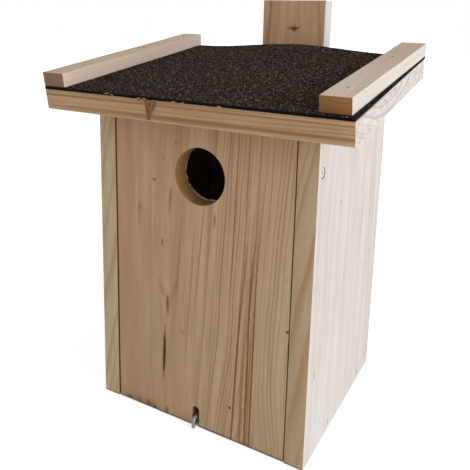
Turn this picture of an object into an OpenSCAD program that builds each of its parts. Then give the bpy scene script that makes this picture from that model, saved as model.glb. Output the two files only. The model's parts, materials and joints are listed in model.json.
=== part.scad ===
// Wooden bird nest box with a felted lean-to roof, a front that swings open and a hanging batten.
// Millimetres. +Z is up, the front faces -Y, and the origin is the centre of the base.

/* [Box] */
// Thickness of the roof, back and floor boards
board_t = 18; // [14:1:22]
// Thickness of the side walls and the front
wall_t = 17; // [14:1:22]
// Outer width of the box
box_w = 208; // [180:1:250]
// Outer depth of the box
box_d = 178; // [150:1:220]
// Height of the side walls along their front edge
front_h = 281; // [220:1:340]

/* [Roof] */
// Slope of the roof in degrees, rising to the back
roof_pitch = 9; // [4:0.5:14]
// Overhang of the roof board in front of the box, along the slope
front_overhang = 27; // [18:1:40]
// Overhang of the roof board beyond each side wall
side_overhang = 33.5; // [20:0.5:45]
// Gap between the roof board and the hanging batten behind it
roof_back_gap = 0.5; // [0.3:0.1:2]

/* [Roofing felt] */
// Thickness of the roofing felt
felt_t = 2.1; // [1.2:0.1:3.5]
// Lip of felt past the front edge of the roof board
felt_lip = 1.5; // [0:0.1:4]
// Height that the felt lifts in front of the hanging batten
felt_rise = 5.8; // [1:0.1:10]
// Place of the crest of the lifted felt, left of centre when negative
felt_crest_x = 5; // [-20:1:20]
// Length of felt along the slope that lifts
felt_lift_run = 92; // [60:1:110]
// Gap between the back edge of the felt and the hanging batten
felt_back_gap = 0.3; // [0.2:0.1:1]

/* [Roof battens] */
// Width of a roof batten
batten_w = 23; // [15:0.5:28]
// Height of a roof batten
batten_h = 12; // [8:0.5:16]
// Length of the left batten past the back edge of the roof board
left_batten_tail = 5.6; // [0:0.1:10]
// Length of the right batten past the back edge of the roof board
right_batten_tail = 3.3; // [0:0.1:10]
// Setback of the right batten from the front edge of the roof board
right_batten_setback = 3.8; // [0:0.1:10]
// Inset of the front end of the right batten from the edge of the roof board
right_batten_inset = 3.5; // [0:0.1:6]

/* [Front panel] */
// Gap between the front panel and the left wall
panel_gap_left = 2; // [0.6:0.1:3]
// Gap between the front panel and the right wall
panel_gap_right = 0.9; // [0.6:0.1:3]
// Gap between the front panel and the roof board, above it
panel_gap_top = 5.5; // [4.5:0.1:9]
// Gap between the front panel and the floor board, behind it
panel_gap_back = 1; // [0.6:0.1:2]
// Height of the lower edge of the front panel above the base
panel_gap_bottom = 1; // [0.6:0.1:3]
// Diameter of the entrance hole
entrance_d = 48; // [28:0.5:52]
// Place of the entrance hole, right of centre when positive
entrance_x = 1.1; // [-10:0.1:10]
// Drop of the centre of the entrance hole below the front edge of the roof's underside
entrance_drop = 50.5; // [40:0.5:90]

/* [Pivot screws] */
// Drop of the pivot screws below the front edge of the roof's underside
pivot_drop = 33.5; // [28:0.5:45]
// Diameter of the shank of a pivot screw
pivot_d = 4; // [3:0.1:5]
// Diameter of the countersunk head of a pivot screw
pivot_head_d = 8; // [6.5:0.1:9]
// Depth of a pivot screw in the edge of the front panel
pivot_grip = 26; // [15:1:35]
// Depth of a pivot screw head below the face of its wall
pivot_sink = 0.5; // [0.2:0.1:1.5]

/* [Turn hook] */
// Diameter of the wire of the turn hook
wire_d = 3.5; // [2.5:0.1:4.2]
// Place of the hook and its slot, right of centre when positive
hook_x = 0.6; // [-10:0.1:10]
// Height of the shank of the hook above the middle of the floor board
hook_rise = 1.2; // [-1:0.1:3]
// Gap between the tip of the lowered hook and the base
hook_tip_gap = 0.6; // [0.4:0.1:2]
// Gap between the front panel and the leg of the hook
hook_standoff = 1.6; // [1:0.1:3]
// Depth of the shank of the hook in the floor board
hook_grip = 24; // [15:1:40]
// Width of the slot for the hook
slot_w = 7; // [5.5:0.1:9]
// Height of the slot above the shank of the hook
slot_head = 8; // [5:0.5:14]

/* [Hanging batten] */
// Width of the hanging batten
hanger_w = 70; // [50:1:90]
// Thickness of the hanging batten
hanger_t = 18; // [14:1:24]
// Length of the hanging batten, from the base upwards
hanger_l = 380; // [360:1:480]

/* [Fits] */
// Radial clearance of a shaft that turns in its hole
turning_clearance = 0.08; // [0.02:0.01:0.1]
// Radial clearance of a screw that is held in its hole
held_clearance = 0.05; // [0.02:0.01:0.1]

/* [Hidden] */
$fn = 64;
front_y = -box_d / 2;
back_y = box_d / 2;
inner_w = box_w - 2 * wall_t;
roof_w = box_w + 2 * side_overhang;
// Length along the slope from the plane of the front to the back edge of the roof board
roof_back_v = (box_d - roof_back_gap) / cos(roof_pitch);
// Height above the underside of the roof board of the face of the felt
felt_top_w = board_t + felt_t;
felt_back_v = (box_d - felt_back_gap + board_t * sin(roof_pitch)) / cos(roof_pitch);
felt_lift_half = roof_w / 2 - batten_w - right_batten_inset - abs(felt_crest_x);
entrance_z = front_h - entrance_drop;
pivot_y = front_y + wall_t / 2;
pivot_z = front_h - pivot_drop;
hook_z = board_t / 2 + hook_rise;
hook_reach = hook_z - hook_tip_gap;
hook_bend_r = wire_d;
// Distance in front of the panel of the axis of the leg of the hook
hook_leg_out = hook_standoff + wire_d / 2;
slot_crown_z = hook_z + wire_d / 2 + slot_head;
panel_w = inner_w - panel_gap_left - panel_gap_right;
panel_x = -inner_w / 2 + panel_gap_left;
pivot_head_h = (pivot_head_d - pivot_d) / 2;
// Margin by which a cut reaches past the face that it opens
cut = 1;

pine = "burlywood";
pale_pine = "wheat";
bitumen = "#2e2a29";
zinc = "silver";

// Height of the underside of the roof board at depth y
function roof_z(y) = front_h + (y - front_y) * tan(roof_pitch);

// Smooth step from 0 to 1
function ease(t) = t <= 0 ? 0 : t >= 1 ? 1 : t * t * (3 - 2 * t);

// Lift of the felt at x across and v along the slope: a crest that dies out to both sides and to the front
function felt_lift(x, v) =
    let (across = min(1, abs(x - felt_crest_x) / felt_lift_half))
    felt_rise * (1 + cos(180 * across)) / 2 * ease((v - felt_back_v + felt_lift_run) / felt_lift_run);

// A board that is cut to an outline of [y, z] points and is w wide from x
module board(outline, x, w) {
    translate([x, 0, 0]) rotate([90, 0, 90]) linear_extrude(w) polygon(outline);
}

// Roof coordinates: x across, y up the slope from the plane of the front, z out of the underside of the board
module on_roof() {
    translate([0, front_y, front_h]) rotate([roof_pitch, 0, 0]) children();
}

// A pivot screw, or with a clearance the hole for it, from the face of the wall at x = 0 towards +x
module pivot_shape(clearance, start, end) {
    rotate([0, 90, 0]) {
        translate([0, 0, start]) cylinder(d = pivot_d + 2 * clearance, h = end - start);
        translate([0, 0, pivot_sink])
            cylinder(d1 = pivot_head_d + 2 * clearance, d2 = pivot_d + 2 * clearance, h = pivot_head_h);
    }
}

// Places a pivot screw in the left wall (side = -1) or the right wall (side = 1)
module at_pivot(side) {
    mirror([side > 0 ? 1 : 0, 0, 0]) translate([-box_w / 2, pivot_y, pivot_z]) children();
}

module side_wall(side) {
    difference() {
        board([[front_y, 0], [back_y, 0], [back_y, roof_z(back_y)], [front_y, roof_z(front_y)]],
              side > 0 ? box_w / 2 - wall_t : -box_w / 2, wall_t);
        at_pivot(side) {
            pivot_shape(turning_clearance, 0, wall_t + cut);
            translate([-cut, 0, 0]) rotate([0, 90, 0])
                cylinder(d = pivot_head_d + 2 * turning_clearance, h = pivot_sink + cut);
        }
    }
}

module left_wall() { color(pine) side_wall(-1); }

module right_wall() { color(pine) side_wall(1); }

module back_wall() {
    inner_y = back_y - board_t;
    color(pine)
        board([[inner_y, 0], [back_y, 0], [back_y, roof_z(back_y)], [inner_y, roof_z(inner_y)]],
              -inner_w / 2, inner_w);
}

module floor_board() {
    floor_front = front_y + wall_t + panel_gap_back;
    color(pine) difference() {
        translate([-inner_w / 2, floor_front, 0])
            cube([inner_w, back_y - board_t - floor_front, board_t]);
        translate([hook_x, floor_front - cut, hook_z]) rotate([-90, 0, 0])
            cylinder(d = wire_d + 2 * turning_clearance, h = hook_grip + cut);
    }
}

// The slot is open at the lower edge of the panel and has a round crown
module hook_slot() {
    crown_centre = slot_crown_z - slot_w / 2;
    translate([hook_x, front_y - cut, 0]) {
        translate([-slot_w / 2, 0, -cut]) cube([slot_w, wall_t + 2 * cut, crown_centre + cut]);
        translate([0, 0, crown_centre]) rotate([-90, 0, 0])
            cylinder(d = slot_w, h = wall_t + 2 * cut);
    }
}

module front_panel() {
    panel_h = front_h - panel_gap_top - panel_gap_bottom;
    color(pine) difference() {
        translate([panel_x, front_y, panel_gap_bottom]) cube([panel_w, wall_t, panel_h]);
        translate([entrance_x, front_y - cut, entrance_z]) rotate([-90, 0, 0])
            cylinder(d = entrance_d, h = wall_t + 2 * cut);
        hook_slot();
        for (side = [-1, 1])
            at_pivot(side) pivot_shape(held_clearance, wall_t, pivot_end(side) + cut);
    }
}

// Distance from the outer face of a wall to the point of its pivot screw
function pivot_end(side) = wall_t + (side > 0 ? panel_gap_right : panel_gap_left) + pivot_grip;

module pivot_screw(side) {
    color(zinc) at_pivot(side) pivot_shape(0, pivot_sink, pivot_end(side));
}

module left_pivot_screw() { pivot_screw(-1); }

module right_pivot_screw() { pivot_screw(1); }

// A screw hook with its leg hanging in line with the slot, so that the front can swing past it
module turn_hook() {
    leg_y = front_y - hook_leg_out;
    shank_end = front_y + wall_t + panel_gap_back + hook_grip;
    color(zinc) translate([hook_x, 0, hook_z]) {
        translate([0, leg_y + hook_bend_r, 0]) rotate([-90, 0, 0])
            cylinder(d = wire_d, h = shank_end - leg_y - hook_bend_r);
        mirror([0, 0, 1]) {
            translate([0, leg_y + hook_bend_r, hook_bend_r]) rotate([0, -90, 0]) rotate([0, 0, 180])
                rotate_extrude(angle = 90) translate([hook_bend_r, 0]) circle(d = wire_d);
            translate([0, leg_y, hook_bend_r]) {
                cylinder(d = wire_d, h = hook_reach - wire_d / 2 - hook_bend_r);
                translate([0, 0, hook_reach - wire_d / 2 - hook_bend_r]) sphere(d = wire_d);
            }
        }
    }
}

module roof_board() {
    color(pine) on_roof() translate([-roof_w / 2, -front_overhang, 0])
        cube([roof_w, front_overhang + roof_back_v, board_t]);
}

// A sheet of felt over the roof board, lifted in a low arch where it meets the hanging batten
module roofing_felt() {
    arch_steps = 18;
    run_steps = 8;
    arch_xs = [for (i = [0 : arch_steps]) felt_crest_x + felt_lift_half * (2 * i / arch_steps - 1)];
    run_vs = [for (j = [0 : run_steps]) felt_back_v - felt_lift_run * (1 - j / run_steps)];
    xs = concat([-roof_w / 2], arch_xs, [roof_w / 2]);
    vs = concat([-front_overhang - felt_lip], run_vs);
    nx = len(xs);
    nv = len(vs);
    layer = nx * nv;
    points = [for (w = [board_t, felt_top_w]) for (v = vs) for (x = xs) [x, v, w + felt_lift(x, v)]];
    // The index of a point on the upper (k = 1) or lower (k = 0) face
    function at(i, j, k) = k * layer + j * nx + i;
    faces = concat(
        [for (j = [0 : nv - 2]) for (i = [0 : nx - 2]) for (half = [0, 1])
            half == 0 ? [at(i, j, 1), at(i, j + 1, 1), at(i + 1, j + 1, 1)]
                      : [at(i, j, 1), at(i + 1, j + 1, 1), at(i + 1, j, 1)]],
        [for (j = [0 : nv - 2]) for (i = [0 : nx - 2]) for (half = [0, 1])
            half == 0 ? [at(i, j, 0), at(i + 1, j + 1, 0), at(i, j + 1, 0)]
                      : [at(i, j, 0), at(i + 1, j, 0), at(i + 1, j + 1, 0)]],
        [for (i = [0 : nx - 2]) for (j = [0, nv - 1])
            j == 0 ? [at(i, j, 0), at(i, j, 1), at(i + 1, j, 1), at(i + 1, j, 0)]
                   : [at(i, j, 1), at(i, j, 0), at(i + 1, j, 0), at(i + 1, j, 1)]],
        [for (j = [0 : nv - 2]) for (i = [0, nx - 1])
            i == 0 ? [at(i, j, 1), at(i, j, 0), at(i, j + 1, 0), at(i, j + 1, 1)]
                   : [at(i, j, 0), at(i, j, 1), at(i, j + 1, 1), at(i, j + 1, 0)]]);
    color(bitumen) on_roof() polyhedron(points, faces);
}

// A batten of a given length up the slope, whose outer face is at x = 0 and which lies towards -x
module roof_batten(length) {
    translate([-batten_w, 0, felt_top_w]) cube([batten_w, length, batten_h]);
}

module left_roof_batten() {
    length = front_overhang + roof_back_v + left_batten_tail;
    color(pale_pine) on_roof() mirror([1, 0, 0]) translate([roof_w / 2, -front_overhang, 0])
        roof_batten(length);
}

// The right batten is set in at its front end and meets the edge of the roof at its back end
module right_roof_batten() {
    length = front_overhang - right_batten_setback + roof_back_v + right_batten_tail;
    skew = asin(right_batten_inset / length);
    color(pale_pine) on_roof()
        translate([roof_w / 2 - right_batten_inset, -front_overhang + right_batten_setback, 0])
            rotate([0, 0, -skew]) roof_batten(length);
}

module hanging_batten() {
    color(pine) translate([-hanger_w / 2, back_y, 0]) cube([hanger_w, hanger_t, hanger_l]);
}

left_wall();
right_wall();
back_wall();
floor_board();
front_panel();
left_pivot_screw();
right_pivot_screw();
turn_hook();
roof_board();
roofing_felt();
left_roof_batten();
right_roof_batten();
hanging_batten();
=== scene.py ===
# A wooden bird nest box: planed pine boards, a granulated felt roof, a turn hook and the nails that hold it.
import json
import math
import random
from functools import partial

import bmesh
import bpy
from mathutils import Matrix, Vector, noise


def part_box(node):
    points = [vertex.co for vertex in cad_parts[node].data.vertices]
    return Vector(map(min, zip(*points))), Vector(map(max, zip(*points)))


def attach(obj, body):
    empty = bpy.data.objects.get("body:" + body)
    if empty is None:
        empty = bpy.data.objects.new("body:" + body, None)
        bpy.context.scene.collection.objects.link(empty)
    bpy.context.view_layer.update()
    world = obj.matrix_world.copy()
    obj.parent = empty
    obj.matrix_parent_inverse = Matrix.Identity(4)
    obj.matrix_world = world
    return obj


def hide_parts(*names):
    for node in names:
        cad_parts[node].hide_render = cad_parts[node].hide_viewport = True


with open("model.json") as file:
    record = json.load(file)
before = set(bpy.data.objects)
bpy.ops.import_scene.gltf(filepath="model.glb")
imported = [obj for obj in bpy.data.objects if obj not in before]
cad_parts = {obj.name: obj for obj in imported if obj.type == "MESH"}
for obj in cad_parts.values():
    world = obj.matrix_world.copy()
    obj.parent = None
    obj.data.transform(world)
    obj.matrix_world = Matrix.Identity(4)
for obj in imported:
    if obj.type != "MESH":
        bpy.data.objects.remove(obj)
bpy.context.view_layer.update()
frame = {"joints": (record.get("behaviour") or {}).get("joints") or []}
scene = bpy.context.scene

# Sizes in metres, read from the frame where the frame holds them
MM = 0.001
PITCH = math.radians(9)
wall_low, wall_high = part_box("right_wall")
left_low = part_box("left_wall")[0]
panel_low, panel_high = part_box("front_panel")
plank_low, plank_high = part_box("hanging_batten")
floor_low, floor_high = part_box("floor_board")
back_low, back_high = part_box("back_wall")
roof_low, roof_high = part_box("roof_board")
joints = {joint["name"]: joint for joint in frame["joints"]}
pivot = Vector(joints["front_swing"]["pos_m"])
hook_axis = Vector(joints["hook_turn"]["pos_m"])

WALL = wall_high.x - wall_low.x
BOARD = floor_high.z - floor_low.z
FRONT_Y = wall_low.y
BACK_Y = wall_high.y
FRONT_H = wall_high.z - (BACK_Y - FRONT_Y) * math.tan(PITCH)
ROOF_W = roof_high.x - roof_low.x
ENTRANCE_R = 24 * MM
ENTRANCE_X = 1.1 * MM
ENTRANCE_Z = 230.5 * MM
FRONT_OVERHANG = 27 * MM
ROOF_BACK = (BACK_Y - FRONT_Y - 0.5 * MM) / math.cos(PITCH)
FELT = 2.1 * MM
FELT_LIP = 1.5 * MM
FELT_FRONT = -FRONT_OVERHANG - FELT_LIP
FELT_INSET = 1.4 * MM
FELT_BACK = (BACK_Y - FRONT_Y - 0.3 * MM + BOARD * math.sin(PITCH)) / math.cos(PITCH)
FELT_RISE = 5.8 * MM
FELT_CREST = 5 * MM
FELT_LIFT_RUN = 92 * MM
BATTEN_W = 23 * MM
BATTEN_H = 12 * MM
LEFT_TAIL = 5.6 * MM
RIGHT_TAIL = 3.3 * MM
RIGHT_SETBACK = 3.8 * MM
RIGHT_INSET = 3.5 * MM
FELT_LIFT_HALF = ROOF_W / 2 - BATTEN_W - RIGHT_INSET - abs(FELT_CREST)
WIRE = 3.5 * MM
SLOT_W = 7 * MM
SLOT_CROWN = hook_axis.z + WIRE / 2 + 8 * MM
HOOK_OUT = 1.6 * MM + WIRE / 2
HOOK_REACH = hook_axis.z - 0.6 * MM
SCREW_HEAD_R = 4 * MM
SCREW_R = 2 * MM
SCREW_SINK = 0.5 * MM
SINK_GAP = 0.4 * MM
SINK_DRIFT = 0.25 * MM

# Roof coordinates: x across, y up the slope from the plane of the front, z out of the underside of the board
ON_ROOF = Matrix.Translation((0, FRONT_Y, FRONT_H)) @ Matrix.Rotation(PITCH, 4, "X")

# How a board's outline lies: flat, or upright with the board's thickness along X or along Y
FLAT = Matrix.Identity(4)
ALONG_X = Matrix(((0, 0, 1, 0), (1, 0, 0, 0), (0, 1, 0, 0), (0, 0, 0, 1)))
ALONG_Y = Matrix(((1, 0, 0, 0), (0, 0, 1, 0), (0, 1, 0, 0), (0, 0, 0, 1)))


def linear(red, green, blue):
    """A colour given as 0 to 255 screen values, as the linear values that shaders take."""
    def curve(value):
        value /= 255
        return value / 12.92 if value <= 0.04045 else ((value + 0.055) / 1.055) ** 2.4
    return curve(red), curve(green), curve(blue), 1.0


class Graph:
    """The node tree of a material or a world, built from nested calls."""

    def __init__(self, owner):
        self.owner = owner
        owner.use_nodes = True
        self.tree = owner.node_tree
        self.tree.nodes.clear()

    def feed(self, socket, value):
        """Links a socket to another one, or sets its value."""
        if isinstance(value, bpy.types.NodeSocket):
            self.tree.links.new(value, socket)
        else:
            socket.default_value = value

    def add(self, kind, settings=None, **inputs):
        """A new node with its settings and its named inputs."""
        node = self.tree.nodes.new("ShaderNode" + kind)
        for key, value in (settings or {}).items():
            setattr(node, key, value)
        for key, value in inputs.items():
            self.feed(node.inputs[key.replace("_", " ")], value)
        return node

    def fill(self, node, values):
        """Feeds the inputs of a node in their order and gives its first output."""
        for socket, value in zip(node.inputs, values):
            self.feed(socket, value)
        return node.outputs[0]

    def math(self, operation, *values):
        return self.fill(self.add("Math", {"operation": operation}), values)

    def plus(self, total, *others):
        for value in others:
            total = self.math("ADD", total, value)
        return total

    def times(self, total, *others):
        for value in others:
            total = self.math("MULTIPLY", total, value)
        return total

    def squares(self, first, second):
        """The sum of two squares."""
        return self.plus(self.times(first, first), self.times(second, second))

    def step(self, value, low, high, start=0.0, end=1.0):
        """A smooth step from start to end as value goes from low to high."""
        node = self.add("MapRange", {"interpolation_type": "SMOOTHSTEP"})
        return self.fill(node, (value, low, high, start, end))

    def vector(self, x, y, z):
        return self.add("CombineXYZ", X=x, Y=y, Z=z).outputs[0]

    def split(self, vector):
        """The three parts of a vector or a colour."""
        return self.add("SeparateXYZ", Vector=vector).outputs

    def noise(self, vector, scale=1.0, detail=2.0, rough=0.5):
        node = self.add("TexNoise", Vector=vector, Scale=scale, Detail=detail, Roughness=rough)
        return node.outputs["Fac"]

    def mix(self, factor, first, second, blend="MIX"):
        """A mix of two colours, each a socket or the 0 to 255 values of a screen."""
        node = self.add("Mix", {"data_type": "RGBA", "blend_type": blend})
        self.feed(node.inputs[0], factor)
        for socket, colour in zip(node.inputs[6:8], (first, second)):
            self.feed(socket, linear(*colour) if isinstance(colour, tuple) else colour)
        return node.outputs[2]

    def close(self, kind, shader):
        """Ends the tree in an output node that a shader feeds."""
        self.feed(self.add(kind).inputs[0], shader.outputs[0])
        return self.owner

    def finish(self, height, depth, **inputs):
        """Ends the tree in a surface with a bump of the given depth in metres."""
        bump = self.add("Bump", Strength=1.0, Distance=depth, Height=height)
        surface = self.add("BsdfPrincipled", Normal=bump.outputs[0], **inputs)
        return self.close("OutputMaterial", surface)


def material_graph(name):
    """An empty node tree of a new material."""
    return Graph(bpy.data.materials.new(name))


class Mark:
    """A mark in wood, at across and along the grain, with its half sizes: a knot, a resin slit or a spot.

    face keeps it to surfaces of one direction. On the edge of a board, its place is a depth instead of
    across, and on the end a depth instead of along. lean tilts it off the grain and slant off the line across
    it, soft blurs its outline, cover is its strength and bend is how far the rings bend round it.
    """

    def __init__(self, across, along, half_across, half_along, colour, lean=0.0, slant=0.0, soft=0.8,
                 bend=0.0, cover=1.0, face=None):
        self.across, self.along = across * MM, along * MM
        self.half_across, self.half_along = half_across * MM, half_along * MM
        self.colour, self.lean, self.slant, self.soft = colour, lean, slant, soft
        self.bend, self.cover, self.face = bend, cover, face


# The part of a normal along an axis from which a surface faces that axis
FACING = (0.5, 0.9)
# How far the rings bend round a knot, in half sizes of the knot
BEND_ACROSS = 2.6
BEND_ALONG = 3.0
# Waves a metre of the grain's patterns, across the grain and along it
SWAY = 16.0
SWAY_STRETCH = 0.45
FIBRES = (900.0, 14.0)
STREAKS = (130.0, 8.0)
PORES = (620.0, 55.0)
BANDS = (30.0, 1.8)
THREADS = (75.0, 2.6)
THREAD_PATCHES = (26.0, 4.0)
END_GRAIN = 900.0
OUTLINES = (420.0, 160.0)
# Where the dark line of a ring peaks and ends, as a share of the ring
LINE_PEAK = 0.9
LINE_FALL = 0.93
# How unevenly the rings are spaced, and the number of the first
RING_DRIFT = 0.31
RING_UNEVEN = 2.4
FIRST_RING = 40.0
GRAIN_DEPTH = 0.14 * MM


def bent_across(g, across, along, marks):
    """The place across the grain, pulled aside so that the rings bend round each knot."""
    reach = across
    for mark in marks:
        if mark.bend:
            offset = g.plus(across, -mark.across)
            a = g.math("DIVIDE", offset, mark.half_across * BEND_ACROSS)
            b = g.math("DIVIDE", g.plus(along, -mark.along), mark.half_along * BEND_ALONG)
            near = g.math("EXPONENT", g.times(g.squares(a, b), -1.0))
            reach = g.math("SUBTRACT", reach, g.times(near, offset, mark.bend))
    return reach


def lay_marks(g, colour, marks, order, along, across, deep, toward):
    """Lays marks over the grain, with an uneven outline. Gives the colour and how far the marks cover it."""
    wide, long = OUTLINES
    ragged = g.noise(g.vector(g.times(across, wide), g.times(deep, wide), g.times(along, long)))
    ragged = g.plus(ragged, -0.5)
    covered = 0.0
    for mark in marks:
        looks_along = mark.face[1] if mark.face else ""
        first = deep if looks_along == order[1] else across
        second = deep if looks_along == order[0] else along
        shifted = g.plus(second, -mark.along)
        a = g.plus(first, -mark.across, g.times(shifted, -mark.lean))
        if mark.slant:
            shifted = g.plus(shifted, g.times(a, -mark.slant))
        a = g.math("DIVIDE", a, mark.half_across)
        b = g.math("DIVIDE", shifted, mark.half_along)
        rough = g.plus(1.0, g.times(ragged, min(0.7, mark.soft * 1.5)))
        distance = g.times(g.math("SQRT", g.squares(a, b)), rough)
        cover = g.times(g.step(distance, 1.0 - mark.soft, 1.0 + mark.soft, 1.0, 0.0), mark.cover)
        if mark.face:
            cover = g.times(cover, toward(mark.face))
        colour = g.mix(cover, colour, mark.colour)
        covered = g.plus(covered, cover)
    return colour, covered


def wood(name, early, late, order, pith, ring, lean, marks=(), contrast=0.8, wander=3.0, seed=0.0, blush=None,
         end_shade=0.72, faces=None, ring_levels=None, end_late=None, calm=None, line_width=0.5, streaks=0.1,
         even=0.15, threads=0.0):
    """Solid wood with growth rings round a pith, cut by whatever shape carries it.

    order names the axes along the grain, across it and deep. pith is [across, deep], ring the ring width and
    wander the unevenness of the rings, in millimetres. lean is the taper of the rings along the grain. early
    and late are the colours of the wood and its rings, blush that of warmer bands and end_late that of the
    rings on the ends. faces gives the colours of faces by their direction, ring_levels the rings' strength by
    the axis that a face looks along, even the strength of the faintest ring and threads that of thin stray
    lines. calm is [from, to, level]: across the grain, in millimetres, the rings grow from that level to full
    strength.
    """
    g = material_graph(name)
    coordinates = g.add("TexCoord")
    place = g.split(coordinates.outputs["Object"])
    along, across, deep = (place[axis] for axis in order)
    normal = g.split(coordinates.outputs["Normal"])
    facing = {axis: g.step(g.math("ABSOLUTE", normal[axis]), *FACING) for axis in "XYZ"}
    end = facing[order[0]]

    def toward(side):
        """Where the surface faces a direction such as +X."""
        sign = -1.0 if side[0] == "-" else 1.0
        return g.step(g.times(normal[side[1]], sign), *FACING)

    stretched = g.vector(across, deep, g.plus(g.times(along, SWAY_STRETCH), seed))
    wave = g.add("TexNoise", Vector=stretched, Scale=SWAY, Detail=2.0, Roughness=0.5)
    sway = g.split(wave.outputs["Color"])
    swing = 2 * wander * MM
    reach = bent_across(g, across, along, marks)
    flow = g.plus(reach, g.times(g.plus(sway[0], -0.5), swing))
    sink = g.plus(deep, g.times(g.plus(sway[1], -0.5), swing))

    def grain(waves, shift=0.0, detail=2.0, rough=0.5):
        """Noise drawn out along the grain."""
        fine, long = waves
        where = g.vector(g.times(flow, fine), g.times(sink, fine), g.plus(g.times(along, long), shift))
        return g.noise(where, 1.0, detail, rough)

    # Rings, each with a strength of its own
    radius = g.math("SQRT", g.squares(g.plus(flow, -pith[0] * MM), g.plus(sink, -pith[1] * MM)))
    rings = g.math("DIVIDE", g.plus(radius, g.times(along, lean)), ring * MM)
    uneven = g.add("TexNoise", {"noise_dimensions": "1D"},
                   W=g.plus(g.times(rings, RING_DRIFT), seed), Scale=1.0, Detail=1.0)
    rings = g.plus(rings, g.times(uneven.outputs["Fac"], RING_UNEVEN), FIRST_RING)
    part = g.math("FRACT", rings)
    year = g.add("TexWhiteNoise", {"noise_dimensions": "1D"}, W=g.math("FLOOR", rings))
    strength = g.step(year.outputs["Value"], 0.0, 1.0, even, 1.0)
    line = g.times(g.step(part, LINE_PEAK - line_width, LINE_PEAK), g.step(part, LINE_FALL, 1.0, 1.0, 0.0))
    dense = g.times(line, strength, contrast)
    warmth = 0.0
    if calm:
        lively = g.step(across, calm[0] * MM, calm[1] * MM, calm[2], 1.0)
        dense = g.times(dense, lively)
        warmth = g.times(g.math("SUBTRACT", 1.0, lively), 0.45)
    for axis, level in (ring_levels or {}).items():
        dense = g.times(dense, g.plus(1.0, g.times(facing[axis], level - 1.0)))
    if threads:
        level = g.math("ABSOLUTE", g.plus(grain(THREADS, seed + 7), -0.5))
        patchy = g.step(grain(THREAD_PATCHES, seed + 11, 1.0), 0.35, 0.65, 0.25, 1.0)
        dense = g.math("MAXIMUM", dense, g.times(g.step(level, 0.0, 0.05, 1.0, 0.0), patchy, threads))

    # Broad bands of warmer wood, and fibres along the grain
    band = g.step(grain(BANDS, seed + 3, 1.0), 0.35, 0.7)
    warmth = g.plus(g.times(band, 0.35 if calm else 0.6), warmth)
    colour = g.mix(warmth, early, blush or early)
    for side, tint in (faces or {}).items():
        colour = g.mix(g.times(toward(side), 0.97), colour, tint)
    colour = g.mix(dense, colour, g.mix(end, late, end_late or late))
    fibre = grain(FIBRES, 0.0, 3.0, 0.6)
    streak = g.step(grain(STREAKS, seed, 4.0, 0.6), 0.3, 0.7, 1.0 - streaks, 1.0 + streaks * 0.8)
    pores = g.step(grain(PORES, 0.0, 1.0), 0.68, 0.8, 1.0, 0.86)
    shade = g.times(g.step(fibre, 0.25, 0.75, 0.94, 1.05), streak, pores)

    # The ends of the boards are darker, because the cut fibres take up dirt
    rough_end = g.noise(coordinates.outputs["Object"], END_GRAIN, 2.0, 0.6)
    end_level = g.step(rough_end, 0.3, 0.7, end_shade * 0.93, end_shade * 1.06)
    shade = g.times(shade, g.plus(1.0, g.times(end, g.plus(end_level, -1.0))))
    tinge = g.vector(shade, g.math("POWER", shade, 1.25), g.math("POWER", shade, 1.6))
    colour = g.mix(1.0, colour, tinge, "MULTIPLY")
    colour, covered = lay_marks(g, colour, marks, order, along, across, deep, toward)

    raised = g.plus(g.times(fibre, 0.5), g.times(dense, 0.5), g.times(end, rough_end, 1.2))
    height = g.plus(raised, g.times(covered, -0.6))
    roughness = g.step(fibre, 0.2, 0.8, 0.6, 0.76)
    return g.finish(height, GRAIN_DEPTH, Base_Color=colour, Roughness=roughness, Specular_IOR_Level=0.25)


def zinc(name, dark, pale):
    """Dull zinc plating with fine spangle and a few brown specks."""
    g = material_graph(name)
    place = g.add("TexCoord").outputs["Object"]
    spangle = g.noise(place, 700.0, 3.0, 0.6)
    rust = g.step(g.noise(place, 420.0), 0.62, 0.75)
    colour = g.mix(spangle, dark, pale)
    colour = g.mix(g.times(rust, 0.6), colour, (112, 84, 60))
    roughness = g.step(spangle, 0.2, 0.8, 0.4, 0.62)
    return g.finish(spangle, 0.05 * MM, Base_Color=colour, Roughness=roughness, Metallic=0.85)


FELT_GRAINS = 900.0


def bitumen():
    """Felt pressed with mineral granules: nearly black, with paler and browner grains and a dark cut edge."""
    g = material_graph("bitumen_felt")
    coordinates = g.add("TexCoord")
    place = coordinates.outputs["Object"]
    normal = g.split(coordinates.outputs["Normal"])
    grain = g.add("TexVoronoi", Vector=place, Scale=FELT_GRAINS)
    pick = g.split(grain.outputs["Color"])
    warm = g.step(g.noise(place, 26.0), 0.4, 0.7)
    stone = g.mix(warm, (86, 72, 64), (104, 84, 68))
    pale = g.step(pick[0], 0.6, 1.0)
    colour = g.mix(g.times(pale, 0.75), (26, 18, 15), stone)
    glint = g.step(pick[1], 0.9, 1.0)
    colour = g.mix(g.times(glint, 0.55), colour, (158, 148, 138))
    cut_edge = g.step(normal[2], 0.2, 0.7, 0.9, 0.0)
    colour = g.mix(cut_edge, colour, (14, 11, 10))
    height = g.plus(g.times(grain.outputs["Distance"], -FELT_GRAINS), g.noise(place, 600.0, 3.0))
    return g.finish(height, 0.25 * MM, Base_Color=colour, Roughness=0.9, Specular_IOR_Level=0.1)


def granule_stone():
    """The loose mineral granules, each with a shade of its own."""
    g = material_graph("granules")
    shade = g.add("Attribute", {"attribute_name": "shade"}).outputs["Fac"]
    place = g.add("TexCoord").outputs["Object"]
    warm = g.step(g.noise(place, 22.0), 0.38, 0.68)
    dark = g.mix(warm, (24, 16, 13), (28, 18, 14))
    pale = g.mix(warm, (152, 128, 115), (150, 122, 99))
    colour = g.mix(g.step(shade, 0.15, 1.0), dark, pale)
    grit = g.noise(place, 1500.0)
    return g.finish(grit, 0.05 * MM, Base_Color=colour, Roughness=0.75, Specular_IOR_Level=0.15)


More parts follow.
